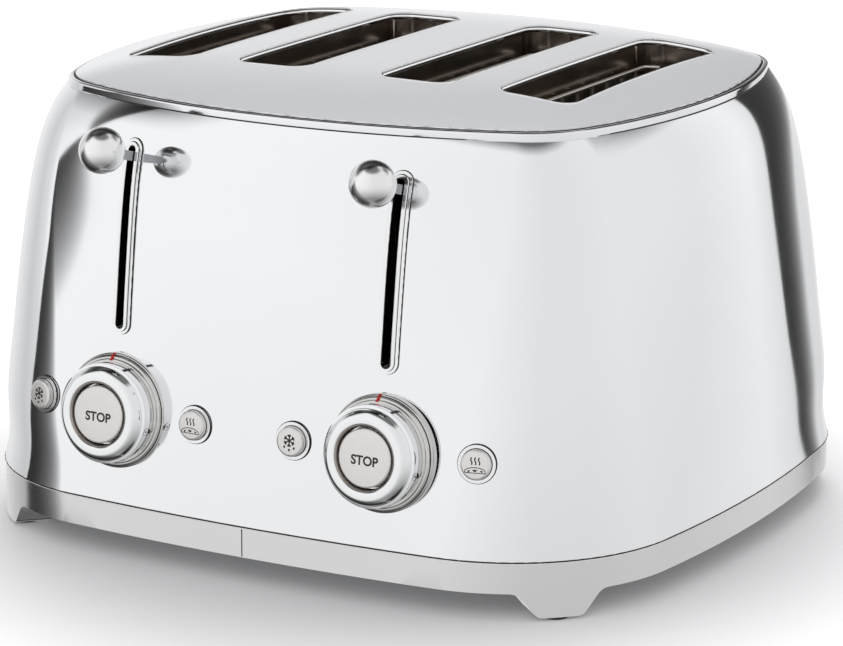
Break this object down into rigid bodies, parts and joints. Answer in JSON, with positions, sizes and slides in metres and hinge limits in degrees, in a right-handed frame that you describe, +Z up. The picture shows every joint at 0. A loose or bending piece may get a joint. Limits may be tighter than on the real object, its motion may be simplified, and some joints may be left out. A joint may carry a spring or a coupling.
{
  "type": "toaster",
  "caption": "Four-slot toaster with a barrel-shaped polished steel body, ball levers, browning knobs, push buttons, crumb trays and lifting bread racks.",
  "frame": {"origin": "On the table under the middle of the body; the foot pads stand on Z = 0.", "axes": "+Z up, the levers and knobs face -Y, the crumb trays pull out towards +Y, +X to the right seen from the front."},
  "size_m": [0.33, 0.3263, 0.2043],
  "materials": {
    "polished_steel": "polished",
    "satin_steel": "satin",
    "satin_metal": "satin",
    "chrome": "polished",
    "plain_steel": "plain",
    "spring_steel": "drawn wire",
    "black_plastic": "matte",
    "board": "matte",
    "mica": "matte",
    "rubber": "matte"
  },
  "bodies": {
    "housing": {"body_shell": "polished_steel", "top_trim_ring": "polished_steel", "top_panel": "satin_steel", "skirt_left": "satin_metal", "skirt_right": "satin_metal", "foot_pads": "rubber", "base_plate": "plain_steel", "base_screws": "plain_steel", "lever_bezel_left": "chrome", "lever_bezel_right": "chrome", "slot_liner_left": "black_plastic", "slot_liner_right": "black_plastic", "control_ring_left": "chrome", "control_ring_right": "chrome", "button_collars": "chrome", "control_housing_left": "black_plastic", "control_housing_right": "black_plastic", "control_board_left": "board", "control_board_right": "board", "front_chassis_plate": "plain_steel", "rear_chassis_plate": "plain_steel", "heat_shield_left": "plain_steel", "heat_shield_right": "plain_steel", "heat_shield_centre": "plain_steel", "heater_card_1": "mica", "heater_card_2": "mica", "heater_card_3": "mica", "heater_card_4": "mica", "heater_card_5": "mica", "heater_card_6": "mica", "guide_rods": "plain_steel", "lift_spring_left": "spring_steel", "lift_spring_right": "spring_steel", "electromagnet_left": "black_plastic", "electromagnet_right": "black_plastic", "power_board": "board", "cord_inlet": "rubber"},
    "lever_left": {"lever_knob_left": "chrome", "lever_carriage_left": "plain_steel", "bread_rack_1": "plain_steel", "bread_rack_2": "plain_steel"},
    "lever_right": {"lever_knob_right": "chrome", "lever_carriage_right": "plain_steel", "bread_rack_3": "plain_steel", "bread_rack_4": "plain_steel"},
    "guides_left_pair_left": {"bread_guides_left_pair_left": "spring_steel"},
    "guides_left_pair_right": {"bread_guides_left_pair_right": "spring_steel"},
    "guides_right_pair_left": {"bread_guides_right_pair_left": "spring_steel"},
    "guides_right_pair_right": {"bread_guides_right_pair_right": "spring_steel"},
    "browning_knob_left": {"browning_knob_left": "chrome"},
    "browning_knob_right": {"browning_knob_right": "chrome"},
    "stop_button_left": {"stop_button_left": "satin_metal"},
    "defrost_button_left": {"defrost_button_left": "satin_metal"},
    "bagel_button_left": {"bagel_button_left": "satin_metal"},
    "stop_button_right": {"stop_button_right": "satin_metal"},
    "defrost_button_right": {"defrost_button_right": "satin_metal"},
    "bagel_button_right": {"bagel_button_right": "satin_metal"},
    "crumb_tray_left": {"crumb_tray_left": "plain_steel"},
    "crumb_tray_right": {"crumb_tray_right": "plain_steel"}
  },
  "joints": [
    {"name": "lever_left_lift", "type": "slide", "parent": "housing", "child": "lever_left", "axis": [0, 0, 1], "range_m": [-0.066, 0], "stiffness_N_per_m": 60, "springref_m": 0.1, "deforming": ["lift_spring_left"]},
    {"name": "guides_left_pair_left_slide", "type": "slide", "parent": "housing", "child": "guides_left_pair_left", "axis": [1, 0, 0], "range_m": [0, 0.005]},
    {"name": "guides_left_pair_right_slide", "type": "slide", "parent": "housing", "child": "guides_left_pair_right", "axis": [-1, 0, 0], "range_m": [0, 0.005]},
    {"name": "lever_right_lift", "type": "slide", "parent": "housing", "child": "lever_right", "axis": [0, 0, 1], "range_m": [-0.066, 0], "stiffness_N_per_m": 60, "springref_m": 0.1, "deforming": ["lift_spring_right"]},
    {"name": "guides_right_pair_left_slide", "type": "slide", "parent": "housing", "child": "guides_right_pair_left", "axis": [1, 0, 0], "range_m": [0, 0.005]},
    {"name": "guides_right_pair_right_slide", "type": "slide", "parent": "housing", "child": "guides_right_pair_right", "axis": [-1, 0, 0], "range_m": [0, 0.005]},
    {"name": "browning_knob_left_turn", "type": "hinge", "parent": "housing", "child": "browning_knob_left", "pos_m": [-0.0645, -0.14528, 0.0653], "axis": [0, 0.9951, -0.0993], "range_deg": [-28, 252]},
    {"name": "stop_button_left_press", "type": "slide", "parent": "housing", "child": "stop_button_left", "axis": [0, 0.9951, -0.0993], "range_m": [0, 0.0015], "stiffness_N_per_m": 800, "springref_m": -0.001},
    {"name": "defrost_button_left_press", "type": "slide", "parent": "housing", "child": "defrost_button_left", "axis": [0.2613, 0.958, -0.1177], "range_m": [0, 0.0015], "stiffness_N_per_m": 800, "springref_m": -0.001},
    {"name": "bagel_button_left_press", "type": "slide", "parent": "housing", "child": "bagel_button_left", "axis": [0.0346, 0.9964, -0.078], "range_m": [0, 0.0015], "stiffness_N_per_m": 800, "springref_m": -0.001},
    {"name": "browning_knob_right_turn", "type": "hinge", "parent": "housing", "child": "browning_knob_right", "pos_m": [0.0645, -0.14528, 0.0653], "axis": [0, 0.9951, -0.0993], "range_deg": [-28, 252]},
    {"name": "stop_button_right_press", "type": "slide", "parent": "housing", "child": "stop_button_right", "axis": [0, 0.9951, -0.0993], "range_m": [0, 0.0015], "stiffness_N_per_m": 800, "springref_m": -0.001},
    {"name": "defrost_button_right_press", "type": "slide", "parent": "housing", "child": "defrost_button_right", "axis": [-0.0346, 0.9964, -0.078], "range_m": [0, 0.0015], "stiffness_N_per_m": 800, "springref_m": -0.001},
    {"name": "bagel_button_right_press", "type": "slide", "parent": "housing", "child": "bagel_button_right", "axis": [-0.2613, 0.958, -0.1177], "range_m": [0, 0.0015], "stiffness_N_per_m": 800, "springref_m": -0.001},
    {"name": "crumb_tray_left_slide", "type": "slide", "parent": "housing", "child": "crumb_tray_left", "axis": [0, 1, 0], "range_m": [0, 0.24]},
    {"name": "crumb_tray_right_slide", "type": "slide", "parent": "housing", "child": "crumb_tray_right", "axis": [0, 1, 0], "range_m": [0, 0.24]}
  ],
  "couplings": [
    {"joint": "guides_left_pair_left_slide", "follows": "lever_left_lift", "ratio": -0.0757},
    {"joint": "guides_left_pair_right_slide", "follows": "lever_left_lift", "ratio": -0.0757},
    {"joint": "guides_right_pair_left_slide", "follows": "lever_right_lift", "ratio": -0.0757},
    {"joint": "guides_right_pair_right_slide", "follows": "lever_right_lift", "ratio": -0.0757}
  ]
}
